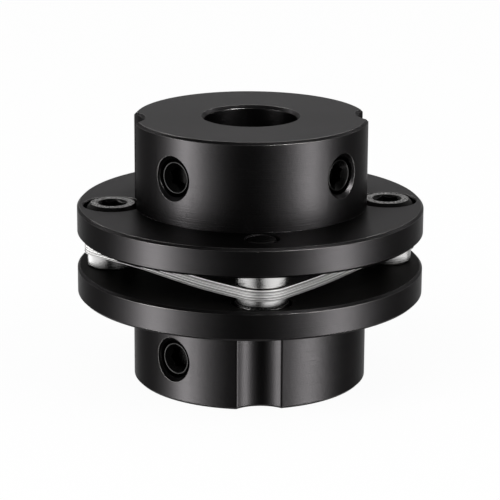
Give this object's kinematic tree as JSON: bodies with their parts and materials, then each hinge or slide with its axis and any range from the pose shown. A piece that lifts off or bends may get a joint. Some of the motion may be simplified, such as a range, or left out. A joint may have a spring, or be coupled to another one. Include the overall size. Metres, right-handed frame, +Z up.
{
  "type": "disc coupling",
  "caption": "Single disc shaft coupling: two flanged steel hubs joined by a pack of thin steel leaves and cap screws, with set screws that grip the shafts.",
  "frame": {"origin": "on the bore's axis, at the lower hub's end face", "axes": "+Z up along the bore's axis; +X towards the lower hub's right tapped hole, and +Y towards the back, so the lower hub's front left set screw lies halfway between -X and -Y"},
  "size_m": [0.056, 0.056, 0.0433],
  "materials": {
    "black_steel": "glossy black oxide on turned steel",
    "screw_steel": "black oxide",
    "set_screw_steel": "black oxide",
    "leaf_steel": "rolled stainless steel with cut edges",
    "ring_steel": "polished steel"
  },
  "bodies": {
    "root": {"lower_hub": "black_steel", "upper_hub": "black_steel", "disc_leaf_1": "leaf_steel", "disc_leaf_2": "leaf_steel", "disc_leaf_3": "leaf_steel", "disc_leaf_4": "leaf_steel", "disc_leaf_5": "leaf_steel", "disc_leaf_6": "leaf_steel", "disc_leaf_7": "leaf_steel", "disc_leaf_8": "leaf_steel", "disc_leaf_9": "leaf_steel", "cap_screw_left": "screw_steel", "washer_left": "ring_steel", "spacer_left": "ring_steel", "cap_screw_right": "screw_steel", "washer_right": "ring_steel", "spacer_right": "ring_steel", "cap_screw_front": "screw_steel", "washer_front": "ring_steel", "spacer_front": "ring_steel", "cap_screw_back": "screw_steel", "washer_back": "ring_steel", "spacer_back": "ring_steel", "lower_set_screw_front": "set_screw_steel", "lower_set_screw_back": "set_screw_steel", "upper_set_screw_left": "set_screw_steel", "upper_set_screw_right": "set_screw_steel"}
  },
  "joints": []
}
